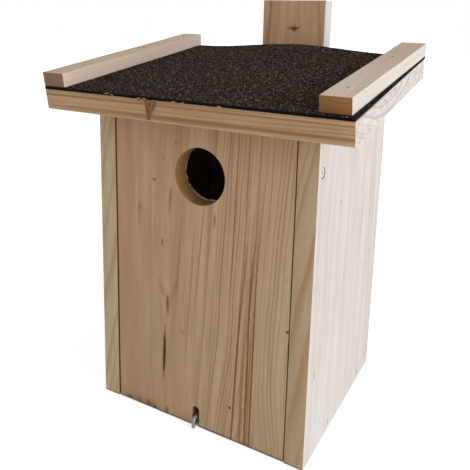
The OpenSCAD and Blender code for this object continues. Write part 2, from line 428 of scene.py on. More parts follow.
def add_object(name, data):
    """A new object in the scene."""
    item = bpy.data.objects.new(name, data)
    scene.collection.objects.link(item)
    return item


def place_piece(mesh, name, material, body, nodes=(), where=None):
    """Makes an object of a bmesh, sets its finish and lets it ride on a body."""
    data = bpy.data.meshes.new(name)
    mesh.to_mesh(data)
    mesh.free()
    data.materials.append(material)
    piece = add_object(name, data)
    if where is not None:
        piece.matrix_world = where
    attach(piece, body)
    if nodes:
        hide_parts(*nodes)


ARRIS = 0.3 * MM
ARRIS_TURNS = 3
EDGE_STEP = 14 * MM
EDGE_WANDER = 0.16 * MM
EDGE_WAVES = 60
EDGE_PROUD = 0.25
TEAR_WAVES = 110
TEAR_FINE_WAVES = 400
SHARPEST_MITRE = 0.5
TINY = 1e-9


def neighbours(loop):
    """Each point of a closed loop, between the ones before and after it."""
    return zip(loop[-1:] + loop[:-1], loop, loop[1:] + loop[:1])


def rounded(before, corner, after):
    """The points that round a corner."""
    corner = Vector(corner)
    start = corner + (Vector(before) - corner).normalized() * ARRIS
    end = corner + (Vector(after) - corner).normalized() * ARRIS
    steps = [turn / ARRIS_TURNS for turn in range(ARRIS_TURNS + 1)]
    return [start.lerp(corner, t).lerp(corner.lerp(end, t), t) for t in steps]


def eased(corners):
    """A closed outline with each corner rounded, and its straight edges left slightly uneven."""
    outline = []
    for before, corner, after in neighbours(corners):
        outline += rounded(before, corner, after)
    return uneven_edges(outline)


def eased_run(points):
    """An open run of corners, each rounded but for the first and the last."""
    run = [Vector(points[0])]
    for before, corner, after in zip(points, points[1:], points[2:]):
        run += rounded(before, corner, after)
    return run + [Vector(points[-1])]


def uneven_edges(outline):
    """The outline with points added along its straight edges, each a little off the line."""
    points = []
    for _, point, following in neighbours(outline):
        points.append(point)
        edge = following - point
        side = Vector((-edge.y, edge.x)).normalized()
        pieces = int(edge.length / EDGE_STEP)
        for number in range(1, pieces):
            middle = point + edge * (number / pieces)
            drift = noise.noise(Vector((middle.x * EDGE_WAVES, middle.y * EDGE_WAVES, edge.x * 5)))
            points.append(middle + side * min(drift, EDGE_PROUD) * EDGE_WANDER)
    return points


def circle(x, y, radius, count=96):
    """A round hole, which runs the other way from an outline."""
    angles = [-2 * math.pi * index / count for index in range(count)]
    return [Vector((x + radius * math.cos(a), y + radius * math.sin(a))) for a in angles]


def inset(loop, distance):
    """The loop moved into the board by a distance."""
    moved = []
    for before, point, after in neighbours(loop):
        first = (point - before).normalized()
        second = (after - point).normalized()
        inward = Vector((-first.y, first.x))
        normal = Vector((-first.y - second.y, first.x + second.x))
        if normal.length < TINY:
            normal = inward.copy()
        normal.normalize()
        scale = max(SHARPEST_MITRE, normal.dot(inward))
        moved.append(point + normal * distance / scale)
    return moved


def torn(point, reach):
    """How far the drill tore the fibres at the back of a hole."""
    rough = noise.noise(Vector((point.x * TEAR_WAVES, point.y * TEAR_WAVES, 1.0)))
    fine = noise.noise(Vector((point.x * TEAR_FINE_WAVES, point.y * TEAR_FINE_WAVES, 2.0)))
    return reach * max(0.0, rough + 0.25 * fine)


def skin(mesh, rings, capped=False):
    """Joins each ring of points to the next by smooth faces, and may close both ends."""
    for lower, upper in zip(rings, rings[1:]):
        for index, corner in enumerate(lower):
            following = (index + 1) % len(lower)
            face = mesh.faces.new((corner, lower[following], upper[following], upper[index]))
            face.smooth = True
    if capped:
        mesh.faces.new(rings[0])
        mesh.faces.new(rings[-1])


def faced_out(mesh):
    """The mesh with its faces turned outwards."""
    bmesh.ops.recalc_face_normals(mesh, faces=mesh.faces)
    return mesh


def slab(loops, thickness, place=FLAT, arris=ARRIS, turns=ARRIS_TURNS, tear=0.0, sanded=None):
    """A board of a given thickness, cut to an outline and holes, with its edges eased.

    tear is how far the fibres are torn at the back of holes, sanded the rounding of their front edge.
    """
    mesh = bmesh.new()
    quarter = [math.radians(90) * turn / turns for turn in range(turns + 1)]

    def rounding(size):
        """The steps of a rounded edge, each an inset and a height."""
        rise = [(size * (1 - math.sin(angle)), size * (1 - math.cos(angle))) for angle in quarter]
        return rise + [(0.0, size * 1.6)]

    far = [(inward, thickness - height) for inward, height in reversed(rounding(arris))]
    caps = ([], [])
    for number, loop in enumerate(loops):
        rings = []
        near = rounding(sanded if sanded and number else arris)
        for inward, height in near + far:
            spots = inset(loop, inward)
            if tear and number and height > thickness - 2 * arris:
                outer = inset(loop, inward + 1.0 * MM)
                spots = [p.lerp(q, torn(p, tear) / MM) for p, q in zip(spots, outer)]
            rings.append([mesh.verts.new(place @ Vector((p.x, p.y, height))) for p in spots])
        skin(mesh, rings)
        for cap, ring in zip(caps, (rings[0], rings[-1])):
            cap.extend(mesh.edges.get((point, after)) for _, point, after in neighbours(ring))
    for cap in caps:
        bmesh.ops.triangle_fill(mesh, edges=cap, use_beauty=True, use_dissolve=False)
    return faced_out(mesh)


def sliver(mesh, middle, sides, reach):
    """Adds a splinter: a ring of sides round its middle, drawn out to a tip at each end."""
    ring = [mesh.verts.new(middle + side) for side in sides]
    for tip in (middle - reach, middle + reach):
        point = mesh.verts.new(tip)
        for _, corner, following in neighbours(ring):
            mesh.faces.new((corner, following, point))


def turned(mesh, profile, place, sides):
    """Adds a solid of round sections, each given as a radius and a height."""
    rings = []
    for radius, height in profile:
        points = [place @ Vector((p.x, p.y, height)) for p in circle(0, 0, radius, sides)]
        rings.append([mesh.verts.new(point) for point in points])
    skin(mesh, rings, capped=True)


def rectangle(x0, y0, x1, y1):
    """The corners of a rectangle, in the direction of an outline."""
    return [(x0, y0), (x1, y0), (x1, y1), (x0, y1)]


def roof_height(y):
    """The height of the roof board's underside."""
    return FRONT_H + (y - FRONT_Y) * math.tan(PITCH)


# Pine, and marks that keep to its front, right or top faces
front = partial(Mark, face="-Y")
right = partial(Mark, face="+X")
top = partial(Mark, face="+Z")
# Painted light: a pale, cool colour for faces that look towards the lamp at +X, standing in for their
# brightly lit look
PAINTED_LIT_PALE = (199, 188, 179)
WARM = (203, 184, 158)
# Painted light: the near white of the plank's side that looks towards the lamp at +X
PAINTED_LIT_WHITE = (206, 198, 192)
# A dark line along the lower end of the walls' front edges
LOW_EDGE_DARK = (86, 76, 64)
# A dark line along the foot of the front panel
FOOT_LINE_DARK = (58, 48, 38)
# Painted light: warm brown bounce light in the narrow gap between the left wall and the front panel
PAINTED_GAP_GLOW = (172, 112, 56)
# Painted shade: a darker colour for the inner faces, so that the gaps and the inside of the box read dark
PAINTED_INNER_SHADE = (160, 128, 96)
wall_marks = (
    Mark(30.1, 192, 0.5, 42, (158, 140, 124), lean=0.014, soft=0.6, cover=0.8),
    Mark(-34.7, 213, 1.6, 2.2, (168, 150, 134), bend=0.5),
    Mark(-74.8, 77.7, 2, 3.4, (160, 144, 128), soft=0.7, bend=0.7),
    right(-20, 20, 90, 70, (207, 198, 189), soft=0.95, cover=0.45),
    right(52.1, 8.6, 2, 2.6, (150, 130, 108), cover=0.7),
    right(-32.2, 8, 1.8, 2.2, (160, 142, 122), cover=0.7),
    front(96, 50, 40, 100, (176, 152, 114), soft=0.95, cover=0.4),
    front(95.4, 72, 2.4, 46, (176, 130, 76), lean=0.18, soft=0.9, cover=0.55),
    front(96.6, 155, 2.2, 42, (178, 132, 80), lean=0.165, soft=0.9, cover=0.55),
    front(96, 0.2, 30, 1, LOW_EDGE_DARK, soft=0.7, cover=0.7),
)
left_wall_marks = (
    front(-96, 0.2, 30, 1, LOW_EDGE_DARK, soft=0.7, cover=0.7),
    # Painted bounce light: a brown strip on the inner face near the front, seen through the gap
    right(-83, 140, 6, 300, PAINTED_GAP_GLOW, soft=0.5, cover=0.9),
)
DULL = (190, 158, 124)
DULL_RINGS = (146, 108, 72)
# The right wall's outer face at +X carries painted light, and its inner face at -X painted shade
right_pine = wood("right_wall_pine", (194, 166, 132), (154, 112, 66), "ZYX", (40, 150), 4.4, 0.06, wall_marks,
                  contrast=0.48, wander=5, seed=1.7, streaks=0.08, faces={"+X": PAINTED_LIT_PALE, "-X": PAINTED_INNER_SHADE},
                  ring_levels={"X": 0.4})
# The left wall's inner face at +X carries painted shade
left_pine = wood("left_wall_pine", (202, 176, 140), (166, 130, 86), "ZYX", (40, -40), 4.4, 0.09,
                 left_wall_marks, contrast=0.5, wander=5, seed=5.2, faces={"-X": WARM, "+X": PAINTED_INNER_SHADE},
                 ring_levels={"X": 0.4})
# The back wall's inner face at -Y carries painted shade
inner_pine = wood("inner_pine", DULL, DULL_RINGS, "ZXY", (-20, 60), 3.0, 0.03, seed=8.1, faces={"-Y": PAINTED_INNER_SHADE})
floor_pine = wood("floor_pine", DULL, DULL_RINGS, "XYZ", (10, 70), 3.0, 0.02, seed=9.6)

KNOT = (160, 106, 50)
RESIN = (70, 38, 12)
STREAK = (150, 108, 60)
STRIPE = (152, 105, 52)
LINE = (116, 72, 26)
panel_marks = (
    Mark(-55, 50, 45, 80, (182, 152, 114), soft=0.95, cover=0.4),
    Mark(76, 40, 26, 90, (196, 174, 131), soft=0.95, cover=0.3),
    Mark(48, 225, 36, 70, (200, 158, 123), soft=0.95, cover=0.2),
    # A knot, and the grain that parts round it
    Mark(-30.2, 108.4, 1.6, 8, KNOT, soft=0.7, bend=0.8),
    Mark(-30.2, 113, 0.7, 5, (104, 60, 30), soft=0.6, cover=0.8),
    Mark(-35.4, 121, 2.4, 9, (150, 112, 76), lean=-0.4, soft=0.95, cover=0.35),
    Mark(-24.6, 122, 2.4, 11, (150, 112, 76), lean=0.36, soft=0.95, cover=0.35),
    Mark(-6.5, 130, 0.9, 62, (146, 110, 74), lean=0.066, soft=0.9, cover=0.55),
    Mark(-18.8, 152, 1.1, 36, (148, 112, 76), lean=0.066, soft=0.95, cover=0.55),
    Mark(-35.1, 242.3, 0.9, 2.2, (130, 96, 70), soft=0.7, cover=0.6),
    Mark(-22, 255.9, 0.6, 1.2, (106, 74, 50), soft=0.6, cover=0.7),
    Mark(-61, 190, 1.4, 13, (160, 110, 86), soft=0.9, cover=0.45),
    # A resin slit and small spots
    Mark(-33.6, 61.5, 3.4, 26, (176, 138, 92), lean=0.03, soft=0.9, cover=0.5),
    Mark(-33.6, 61.5, 1.5, 23, RESIN, lean=0.03, soft=0.45),
    Mark(-27.6, 206, 1.5, 10, (172, 132, 76), lean=0.1, soft=0.7, bend=0.5),
    Mark(-27.8, 211, 0.6, 5, (124, 88, 54), lean=0.08, cover=0.6),
    Mark(-44.3, 221.7, 1.6, 1.2, STREAK, soft=0.6),
    Mark(-35.9, 166.4, 0.7, 3.6, (120, 88, 60), soft=0.6),
    Mark(16.5, 196.3, 0.9, 5.2, (140, 106, 76)),
    Mark(-14.4, 87.4, 1, 2.4, (138, 106, 76), lean=-0.4, soft=0.7, cover=0.6),
    Mark(34.7, 31.6, 1.3, 1.4, (96, 66, 42), soft=0.4, bend=0.5),
    Mark(-59.7, 194.8, 2.2, 3, (158, 112, 92), soft=0.9, cover=0.6),
    # Stains along the lower edge, and a dark line along the foot
    Mark(-66, 2, 30, 8, (150, 108, 74), soft=0.95, cover=0.4),
    Mark(-73.8, 3, 3.2, 2.2, (104, 66, 42), soft=0.7),
    Mark(-62, 3.6, 2.6, 3.4, (128, 86, 56), cover=0.8),
    Mark(-51.2, 4, 3.6, 3.6, (116, 78, 52), cover=0.85),
    Mark(-44, 3, 1.6, 2.2, (100, 66, 42), soft=0.6),
    Mark(-31, 4.6, 1.6, 3.2, (128, 90, 60), soft=0.7, cover=0.8),
    front(0, 1, 400, 1.5, FOOT_LINE_DARK, soft=0.5, cover=0.85),
    # The bore of the hole, and the edges of the board
    Mark(1.1, 230.5, 24.2, 24.2, (158, 116, 68), soft=0.02, cover=0.8),
    # Painted shade and warm bounce light: an orange-brown line along the panel's right edge, beside the gap
    Mark(86.2, 120, 0.7, 300, (150, 102, 54), soft=0.6, cover=0.4),
    Mark(85.1, 117.4, 1.2, 1.3, (104, 66, 36), soft=0.5),
    Mark(56, -16, 10, 18, STREAK, bend=1, cover=0.5),
    Mark(-84, 150, 16, 400, (180, 138, 114), soft=0.95, cover=0.2),
    # Dark lines of late wood, with one patch of painted shade among them
    Mark(45.2, 30, 1.6, 80, STRIPE, lean=0.02, soft=0.9, cover=0.85),
    Mark(52, 40, 1.2, 80, STRIPE, lean=0.015, soft=0.9, cover=0.85),
    Mark(50.1, 60, 0.9, 100, LINE, lean=0.012, cover=0.95),
    Mark(38.9, 50, 0.9, 110, LINE, lean=0.045, soft=0.7, cover=0.9),
    Mark(54.8, 60, 0.8, 100, LINE, lean=0.014, soft=0.7, cover=0.95),
    # Painted shade: a soft, redder patch high on the right, where the roof's overhang shades the panel
    Mark(60, 268, 50, 20, (182, 134, 98), soft=0.95, cover=0.25),
    Mark(46.4, 240, 0.6, 60, LINE, lean=0.03, soft=0.9, cover=0.45),
    Mark(56.2, 232, 0.6, 60, LINE, lean=0.03, soft=0.9, cover=0.4),
    Mark(66.8, 238, 0.6, 56, LINE, lean=0.025, soft=0.9, cover=0.35),
    Mark(43.9, 134, 0.7, 46, LINE, lean=0.07, cover=0.7),
    Mark(51.8, 145, 0.8, 44, LINE, lean=0.06, cover=0.75),
    Mark(57.2, 170, 0.7, 40, STRIPE, lean=0.06, soft=0.9, cover=0.6),
    Mark(31, 226, 0.7, 80, (146, 106, 66), lean=0.03, soft=0.9, cover=0.5),
    Mark(35.6, 216, 0.6, 90, LINE, lean=0.035, soft=0.7, cover=0.7),
    Mark(3, 170, 0.7, 60, (142, 106, 76), lean=0.09, cover=0.6),
)
# The panel's side faces at +X and -X are a saturated red-brown: painted warm bounce light, so the narrow gaps
# beside the panel read brown
front_pine = wood("front_pine", (198, 167, 130), (132, 88, 46), "ZXY", (-110, 90), 2.9, -0.033,
                  panel_marks, contrast=0.75, wander=2.6, seed=2.4, blush=(186, 148, 113),
                  calm=(-20, 35, 0.14), threads=0.3, line_width=0.4, streaks=0.12, even=0.35,
                  faces={"+X": (146, 108, 64), "-X": (150, 92, 50)})
torn_pine = wood("torn_pine", (200, 176, 142), (168, 138, 102), "ZXY", (-110, 90), 2.9, -0.033, contrast=0.3,
                 seed=2.9)

SPIKE = (112, 66, 34)
SMUDGE = (140, 132, 126)
roof_marks = (
    front(9, -110, 12, 80, (208, 174, 134), soft=0.95, cover=0.25),
    front(14.5, -25.6, 6, 5.2, (144, 92, 54), soft=0.6, cover=0.75, slant=0.25),
    front(7, -28.2, 6.5, 2, (128, 78, 42), cover=0.85, slant=0.2),
    front(17.4, -30, 0.7, 10, (92, 56, 32), soft=0.7, cover=0.7),
    front(11, -29.6, 7, 1.2, SPIKE, soft=0.9, cover=0.85, slant=-0.13),
    front(12.5, -22.6, 6, 1.3, SPIKE, soft=0.9, cover=0.85, slant=0.5),
    front(13.6, -26.4, 1.2, 1.4, (96, 54, 28), soft=0.7, cover=0.8),
    front(3.6, -28.5, 2.2, 1, SPIKE, soft=0.6, cover=0.9),
    front(17, -36.4, 1, 1.8, SPIKE, soft=0.5),
    right(2, 17.7, 40, 0.9, (138, 110, 84), cover=0.7),
    right(45.2, 12.4, 3.4, 0.9, SMUDGE, soft=0.7, cover=0.8, slant=-0.4),
    right(71.2, 14.5, 3, 1.2, SMUDGE, soft=0.7, cover=0.8, slant=0.3),
    right(5.4, 2.4, 4, 0.8, SMUDGE, cover=0.6, slant=-0.4),
    right(24, 3.4, 4, 0.8, SMUDGE, cover=0.5, slant=-0.4),
    # A pale line along the top arris of the front edge: partly pale torn fibres, partly a painted highlight
    front(17.7, 0, 0.6, 900, (212, 184, 148), soft=0.6, cover=0.7),
    # Painted highlight: a pale line along the lower arris of the front edge
    front(0.3, 0, 0.6, 900, (208, 180, 144), soft=0.6, cover=0.6),
    front(4.4, 40, 1.4, 150, (140, 94, 52), soft=0.9, cover=0.8, lean=0.004),
    front(13.6, 0, 0.7, 900, (136, 94, 56), cover=0.65, lean=0.003),
)
# The roof's right end at +X carries painted light, paler than its left end
roof_pine = wood("roof_pine", (201, 162, 122), (142, 98, 62), "XYZ", (55, 170), 4.5, 0.012, roof_marks,
                 even=0.4, contrast=0.6, wander=2.5, seed=4.3, blush=(190, 146, 104), end_shade=1.0,
                 faces={"-X": WARM, "+X": PAINTED_LIT_PALE}, end_late=(150, 140, 142), line_width=0.4)


def batten_faces(side, end):
    """The colours of a batten's sides and ends."""
    return {"+X": side, "-X": side, "-Y": end, "+Y": end}


left_batten_pine = wood("left_batten_pine", (212, 188, 154), (176, 140, 102), "YXZ", (-60, 40), 2.4, 0.02,
                        contrast=0.4, wander=1.5, seed=6.4, blush=(212, 182, 156), end_shade=1.0,
                        ring_levels={"X": 0.3}, streaks=0.06,
                        faces=batten_faces((212, 188, 168), (144, 106, 82)))
batten_marks = (
    top(4.4, 42, 0.5, 44, (146, 110, 78), lean=-0.06, cover=0.8),
    top(7, 46, 0.5, 40, (150, 114, 82), lean=-0.062, cover=0.7),
    top(9.2, 60, 0.4, 44, (160, 124, 92), lean=-0.05, cover=0.6),
    top(3, 112, 1.2, 3, (150, 118, 92), cover=0.5),
    top(0, 190, 60, 90, (196, 172, 150), soft=0.95, cover=0.6),
    top(0, 20, 60, 70, (230, 212, 194), soft=0.95, cover=0.5),
)
# The right batten's pale grey sides are painted light: they stand in for the brightly lit side towards the
# lamp, and both sides get it
right_batten_pine = wood("right_batten_pine", (214, 194, 174), (140, 86, 40), "YXZ", (4, 26), 2.4, 0.015,
                         batten_marks, contrast=0.6, wander=1.0, seed=7.7, blush=(214, 190, 166),
                         end_shade=1.0, end_late=(112, 66, 28), ring_levels={"X": 0.15, "Z": 0.15},
                         streaks=0.05, faces=batten_faces((202, 192, 182), (160, 107, 56)))
plank_marks = (
    Mark(1.4, 351.1, 2.4, 2.2, (84, 48, 22), soft=0.6, bend=0.8),
    Mark(0.2, 351.3, 5.6, 1.3, (112, 70, 40), soft=0.7, cover=0.85),
    Mark(5.4, 352.2, 2.6, 0.9, (120, 78, 46), soft=0.7, cover=0.7, slant=0.3),
    Mark(-3.6, 352.6, 1.4, 0.7, (120, 78, 46), soft=0.7, cover=0.6),
    Mark(-26.8, 362, 0.8, 40, (136, 88, 56), lean=0.03, cover=0.65),
    Mark(-30, 342, 1.4, 12, (162, 110, 66), lean=0.03, soft=0.9, cover=0.6),
)
# The plank's side at +X carries painted light
plank_pine = wood("plank_pine", (204, 164, 126), (154, 110, 74), "ZXY", (0, 150), 3.6, 0.025, plank_marks,
                  contrast=0.4, wander=3, seed=3.1, blush=(200, 156, 118), faces={"-X": WARM, "+X": PAINTED_LIT_WHITE},
                  ring_levels={"X": 0.3})
zinc_plate = zinc("zinc", (118, 117, 112), (160, 158, 152))
bright_zinc = zinc("bright_zinc", (196, 188, 180), (212, 204, 196))
nail_steel = zinc("nail_steel", (74, 68, 62), (104, 98, 90))
felt_finish = bitumen()
granule_finish = granule_stone()

# Boards of the box
ENTRANCE_TEAR = 2.2 * MM
ENTRANCE_SANDED = 0.8 * MM
ENTRANCE_TURNS = 5
SLOT_ARC = [math.radians(180 - 15 * turn) for turn in range(13)]
SINK_SIDES = 40


def sloped(front):
    """The outline of an upright board under the roof."""
    return eased([(front, 0), (BACK_Y, 0), (BACK_Y, roof_height(BACK_Y)), (front, roof_height(front))])


def side_wall(name, low, material, node):
    """A side wall, cut to the slope, with a hole for the pivot screw."""
    sink = circle(pivot.y + SINK_DRIFT, pivot.z - SINK_DRIFT, SCREW_HEAD_R + SINK_GAP, SINK_SIDES)
    mesh = slab([sloped(FRONT_Y), sink], WALL, Matrix.Translation((low.x, 0, 0)) @ ALONG_X)
    place_piece(mesh, name, material, "box", [node])


side_wall("left_wall_board", left_low, left_pine, "left_wall")
side_wall("right_wall_board", wall_low, right_pine, "right_wall")

back_place = Matrix.Translation((back_low.x, 0, 0)) @ ALONG_X
back_mesh = slab([sloped(back_low.y)], back_high.x - back_low.x, back_place)
place_piece(back_mesh, "back_wall_board", inner_pine, "box", ["back_wall"])

floor_outline = eased(rectangle(floor_low.x, floor_low.y, floor_high.x, floor_high.y))
floor_mesh = slab([floor_outline], floor_high.z)
place_piece(floor_mesh, "floor_board_plate", floor_pine, "box", ["floor_board"])


def panel_outline():
    """The front with its hook slot, which is open below and round at its crown."""
    low, high = panel_low, panel_high
    half = SLOT_W / 2
    middle = SLOT_CROWN - half
    crown = [Vector((hook_axis.x + half * math.cos(a), middle + half * math.sin(a))) for a in SLOT_ARC]
    start = (low.x, low.z)
    first = eased_run([start, (hook_axis.x - half, low.z), crown[0]])
    last = eased_run([crown[-1], (hook_axis.x + half, low.z), (high.x, low.z), (high.x, high.z),
                      (low.x, high.z), start])
    return uneven_edges(first + crown[1:-1] + last[:-1])


panel_loops = [panel_outline(), circle(ENTRANCE_X, ENTRANCE_Z, ENTRANCE_R)]
panel_place = Matrix.Translation((0, panel_low.y, 0)) @ ALONG_Y
panel_mesh = slab(panel_loops, panel_high.y - panel_low.y, panel_place, turns=ENTRANCE_TURNS,
                  tear=ENTRANCE_TEAR, sanded=ENTRANCE_SANDED)
place_piece(panel_mesh, "front_board", front_pine, "front", ["front_panel"])

RIM_FIBRES = 46
RIM_ARC = (150, 285)
RIM_CHIP_END = math.radians(196)
CHIP_FIBRE = 0.35


def frayed_rim(count):
    """Pale fibres that the drill left standing on the left of the hole's back rim."""
    draw = random.Random(5)
    mesh = bmesh.new()
    centre = Vector((ENTRANCE_X, 0, ENTRANCE_Z))
    for _ in range(count):
        angle = math.radians(draw.uniform(*RIM_ARC))
        outward = Vector((math.cos(angle), 0, math.sin(angle)))
        along = Vector((-outward.z, 0, outward.x))
        scale = 1.0 if angle > RIM_CHIP_END else CHIP_FIBRE
        back = panel_high.y - draw.uniform(0.3, 1.5) * MM
        middle = centre + outward * (ENTRANCE_R - 0.1 * MM) + Vector((0, back, 0))
        thick = draw.uniform(0.2, 0.8) * scale * MM
        sides = [outward * thick, Vector((0, thick, 0)), -outward * thick * 1.6, Vector((0, -thick, 0))]
        reach = draw.uniform(1.2, 3.0) * MM
        curl = outward * draw.uniform(-0.5, 0.4) * MM
        sliver(mesh, middle, sides, along * reach - curl)
    return faced_out(mesh)


place_piece(frayed_rim(RIM_FIBRES), "frayed_rim", torn_pine, "front")

plank_outline = eased(rectangle(plank_low.x, plank_low.z, plank_high.x, plank_high.z))
plank_place = Matrix.Translation((0, plank_low.y, 0)) @ ALONG_Y
plank_mesh = slab([plank_outline], plank_high.y - plank_low.y, plank_place)
place_piece(plank_mesh, "hanging_plank", plank_pine, "box", ["hanging_batten"])

# Roof
roof_mesh = slab([eased(rectangle(-ROOF_W / 2, -FRONT_OVERHANG, ROOF_W / 2, ROOF_BACK))], BOARD)
place_piece(roof_mesh, "roof_plate", roof_pine, "box", ["roof_board"], ON_ROOF)
ON_FELT = ON_ROOF @ Matrix.Translation((0, 0, BOARD + FELT))


def batten(name, length, material, node, where):
    """A roof batten in its own frame: x across, y along it and z up from the felt."""
    mesh = slab([eased(rectangle(-BATTEN_W / 2, 0, BATTEN_W / 2, length))], BATTEN_H)
    place_piece(mesh, name, material, "box", [node], where)


left_length = FRONT_OVERHANG + ROOF_BACK + LEFT_TAIL
left_place = ON_FELT @ Matrix.Translation((-ROOF_W / 2 + BATTEN_W / 2, -FRONT_OVERHANG, 0))
batten("left_batten_strip", left_length, left_batten_pine, "left_roof_batten", left_place)
right_length = FRONT_OVERHANG - RIGHT_SETBACK + ROOF_BACK + RIGHT_TAIL
right_corner = ON_FELT @ Matrix.Translation((ROOF_W / 2 - RIGHT_INSET, RIGHT_SETBACK - FRONT_OVERHANG, 0))
skew = Matrix.Rotation(-math.asin(RIGHT_INSET / right_length), 4, "Z")
right_place = right_corner @ skew @ Matrix.Translation((-BATTEN_W / 2, 0, 0))
batten("right_batten_strip", right_length, right_batten_pine, "right_roof_batten", right_place)


def ease(t):
    """A smooth step from 0 to 1."""
    t = max(0.0, min(1.0, t))
    return t * t * (3 - 2 * t)


def felt_lift(x, v):
    """How far the felt stands off the board, where its back edge meets the hanging plank."""
    across = min(1.0, abs(x - FELT_CREST) / FELT_LIFT_HALF)
    arch = FELT_RISE * (1 + math.cos(math.pi * across)) / 2
    return arch * ease((v - FELT_BACK + FELT_LIFT_RUN) / FELT_LIFT_RUN)


FELT_CELL = 2.0 * MM
FELT_GRIT = 0.22 * MM
FELT_FRAY = 0.7 * MM


def felt_sheet():
    """A sheet of felt with an uneven cut edge and a gritty upper face, in roof coordinates."""
    mesh = bmesh.new()
    columns = int(ROOF_W / FELT_CELL)
    rows = int((FELT_BACK - FELT_FRONT) / FELT_CELL)

    def point(row, column, level):
        """A point of the sheet's grid."""
        x = -ROOF_W / 2 + FELT_INSET + (ROOF_W - FELT_INSET) * column / columns
        v = FELT_FRONT + (FELT_BACK - FELT_FRONT) * row / rows
        grit = noise.noise(Vector((x * 700, v * 700, level * 900))) * FELT_GRIT if level else 0.0
        fray = 0.0 if row else noise.noise(Vector((x * 180, 3.0, 0.0))) * FELT_FRAY
        return mesh.verts.new((x, v + fray, BOARD + level + felt_lift(x, v) + grit))

    def layer(level):
        return [[point(row, column, level) for column in range(columns + 1)] for row in range(rows + 1)]

    lower, upper = layer(0.0), layer(FELT)
    for row in range(rows):
        for column in range(columns):
            for grid, turn in ((upper, 1), (lower, -1)):
                corners = grid[row][column:column + 2] + grid[row + 1][column:column + 2][::-1]
                mesh.faces.new(corners[::turn]).smooth = True
    rim = [(0, c) for c in range(columns)] + [(r, columns) for r in range(rows)]
    rim += [(rows, c) for c in range(columns, 0, -1)] + [(r, 0) for r in range(rows, 0, -1)]
    for _, (r0, c0), (r1, c1) in neighbours(rim):
        mesh.faces.new((lower[r0][c0], lower[r1][c1], upper[r1][c1], upper[r0][c0]))
    return mesh


place_piece(felt_sheet(), "felt_sheet", felt_finish, "box", ["roofing_felt"], ON_ROOF)

# Splinters, each by its place across, its height, its half length and its tilt
SPLINTERS = (
    (-66.9, 19.8, 3.6, 0.1),
    (-61.5, 19, 2.2, -0.2),
    (-35, 18.6, 3, 0.15),
    (-29.5, 19, 2, -0.1),
    (-2.2, 18.7, 3.2, 0.1),
    (6, 18.6, 2, 0.2),
    (37.9, 18.7, 2.6, -0.15),
)
SPLINTER_SIDES = [Vector(side) * MM for side in ((0, 0, 0.45), (0, 0.5, 0), (0, 0, -0.45), (0, -0.4, 0))]
SPLINTER_OUT = 0.5 * MM


def splinters(spots):
    """Slivers of wood torn up where the felt meets the front edge, in roof coordinates."""
    mesh = bmesh.new()
    for x, height, half, tilt in spots:
        middle = Vector((x * MM, FELT_FRONT - SPLINTER_OUT, height * MM))
        sliver(mesh, middle, SPLINTER_SIDES, Vector((half * MM, 0, half * tilt * MM)))
    return faced_out(mesh)


place_piece(splinters(SPLINTERS), "edge_splinters", roof_pine, "box", (), ON_ROOF)

GRANULES = 34000
GRANULE_SINK = 0.12 * MM
GRANULE_CLUMPS = 330
SIDE_MARGIN = 0.5 * MM
BATTEN_MARGIN = 0.6 * MM
FRONT_MARGIN = 1.0 * MM
BACK_MARGIN = 0.8 * MM
BARE_FROM = 2.5 * MM


def under_batten(x, v):
    """Whether a batten covers a place on the felt."""
    inset_there = RIGHT_INSET * (1 - (v + FRONT_OVERHANG) / right_length)
    under_left = x < -ROOF_W / 2 + BATTEN_W + BATTEN_MARGIN
    under_right = x > ROOF_W / 2 - BATTEN_W - inset_there - BATTEN_MARGIN
    return (under_left or under_right) and v > FELT_FRONT + BARE_FROM


def granules():
    """Mineral granules pressed into the felt between the battens, in roof coordinates."""
    draw = random.Random(11)
    mesh = bmesh.new()
    shade = mesh.verts.layers.float.new("shade")
    for _ in range(GRANULES):
        x = draw.uniform(-ROOF_W / 2 + FELT_INSET + SIDE_MARGIN, ROOF_W / 2 - SIDE_MARGIN)
        v = draw.uniform(FELT_FRONT + FRONT_MARGIN, FELT_BACK - BACK_MARGIN)
        clump = noise.noise(Vector((x * GRANULE_CLUMPS, v * GRANULE_CLUMPS, 5.0)))
        radius = draw.uniform(0.4, 1.0) * MM
        tone = draw.triangular(0, 0.78, 0.22) + max(0.0, clump) * draw.uniform(0.0, 1.0)
        tone *= 0.95 + 0.3 * x / ROOF_W
        turn = draw.uniform(0, 2 * math.pi)
        if under_batten(x, v):
            continue
        base = BOARD + FELT + felt_lift(x, v) - GRANULE_SINK
        ring = []
        for corner in range(3):
            angle = turn + corner * math.pi * 2 / 3 + draw.uniform(-0.3, 0.3)
            reach = radius * draw.uniform(0.8, 1.2)
            ring.append(mesh.verts.new((x + reach * math.cos(angle), v + reach * math.sin(angle), base)))
        peak = mesh.verts.new((x, v, base + radius * draw.uniform(0.7, 1.2)))
        for _, corner, following in neighbours(ring):
            mesh.faces.new((corner, following, peak))
        for vertex in ring + [peak]:
            vertex[shade] = tone
    return mesh


place_piece(granules(), "felt_granules", granule_finish, "box", (), ON_ROOF)

# Metal
WIRE_SIDES = 20
BEND_STEPS = 8
BEND_R = WIRE
SHANK_IN = 24 * MM


def tube(path, radius):
    """A round wire along a path, with a domed end."""
    mesh = bmesh.new()
    rings = []
    side = Vector((1, 0, 0))
    angles = [2 * math.pi * turn / WIRE_SIDES for turn in range(WIRE_SIDES)]

    def add_ring(point, up, reach):
        offsets = [(side * math.cos(a) + up * math.sin(a)) * reach for a in angles]
        rings.append([mesh.verts.new(point + offset) for offset in offsets])

    for index, point in enumerate(path):
        before = path[max(0, index - 1)]
        after = path[min(len(path) - 1, index + 1)]
        forward = (after - before).normalized()
        up = forward.cross(side).normalized()
        add_ring(point, up, radius)
    for turn in range(1, 6):
        tip = math.radians(17 * turn)
        add_ring(path[-1] + forward * radius * math.sin(tip), up, radius * math.cos(tip))
    skin(mesh, rings, capped=True)
    return faced_out(mesh)


